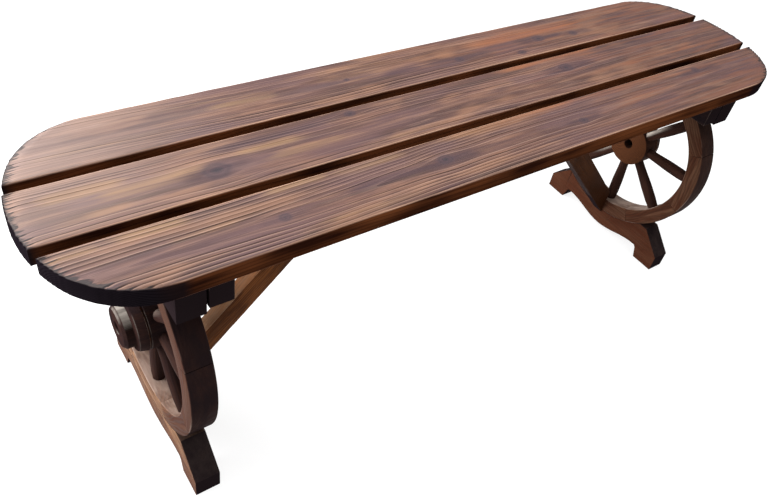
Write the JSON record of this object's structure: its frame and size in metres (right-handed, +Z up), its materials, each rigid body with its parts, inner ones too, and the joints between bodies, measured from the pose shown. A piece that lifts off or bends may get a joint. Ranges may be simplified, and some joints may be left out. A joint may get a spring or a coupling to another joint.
{
  "type": "backless garden bench",
  "caption": "Backless wooden garden bench: plank seat with rounded ends on spoked cart-wheel legs, foot rails and diagonal braces.",
  "frame": {"origin": "on the floor, below the middle of the seat", "axes": "+X along the seat towards its right end, +Y towards the back, +Z up; the front, nearest the picture's camera, faces -Y"},
  "size_m": [1.334, 0.348, 0.45],
  "materials": {
    "seat_wood": "planed fir, scorched, wire-brushed and stained mid brown, matt",
    "frame_wood": "sawn fir, scorched and stained dark brown, near black on the end grain, matt",
    "turned_wood": "turned fir, scorched and stained dark brown, matt",
    "dowel_wood": "bare beech, hidden inside the wood",
    "screw_steel": "zinc-plated steel"
  },
  "bodies": {
    "root": {"plank_front": "seat_wood", "plank_middle": "seat_wood", "plank_back": "seat_wood", "bolster_left": "frame_wood", "batten_left": "frame_wood", "foot_rail_left": "frame_wood", "brace_left": "frame_wood", "bolster_right": "frame_wood", "batten_right": "frame_wood", "foot_rail_right": "frame_wood", "brace_right": "frame_wood", "hub_left": "turned_wood", "hub_right": "turned_wood", "rim_segment_left_1": "frame_wood", "rim_segment_left_2": "frame_wood", "rim_segment_left_3": "frame_wood", "rim_segment_left_4": "frame_wood", "rim_segment_left_5": "frame_wood", "rim_segment_left_6": "frame_wood", "rim_segment_left_7": "frame_wood", "rim_segment_left_8": "frame_wood", "rim_segment_right_1": "frame_wood", "rim_segment_right_2": "frame_wood", "rim_segment_right_3": "frame_wood", "rim_segment_right_4": "frame_wood", "rim_segment_right_5": "frame_wood", "rim_segment_right_6": "frame_wood", "rim_segment_right_7": "frame_wood", "rim_segment_right_8": "frame_wood", "spoke_left_1": "turned_wood", "spoke_left_2": "turned_wood", "spoke_left_3": "turned_wood", "spoke_left_4": "turned_wood", "spoke_left_5": "turned_wood", "spoke_left_6": "turned_wood", "spoke_left_7": "turned_wood", "spoke_left_8": "turned_wood", "spoke_right_1": "turned_wood", "spoke_right_2": "turned_wood", "spoke_right_3": "turned_wood", "spoke_right_4": "turned_wood", "spoke_right_5": "turned_wood", "spoke_right_6": "turned_wood", "spoke_right_7": "turned_wood", "spoke_right_8": "turned_wood", "rim_dowels_left": "dowel_wood", "brace_dowels_left": "dowel_wood", "rim_dowels_right": "dowel_wood", "brace_dowels_right": "dowel_wood", "seat_screws_left": "screw_steel", "seat_screws_right": "screw_steel", "wheel_screws_left": "screw_steel", "wheel_screws_right": "screw_steel", "brace_screws_left": "screw_steel", "brace_screws_right": "screw_steel"}
  },
  "joints": []
}
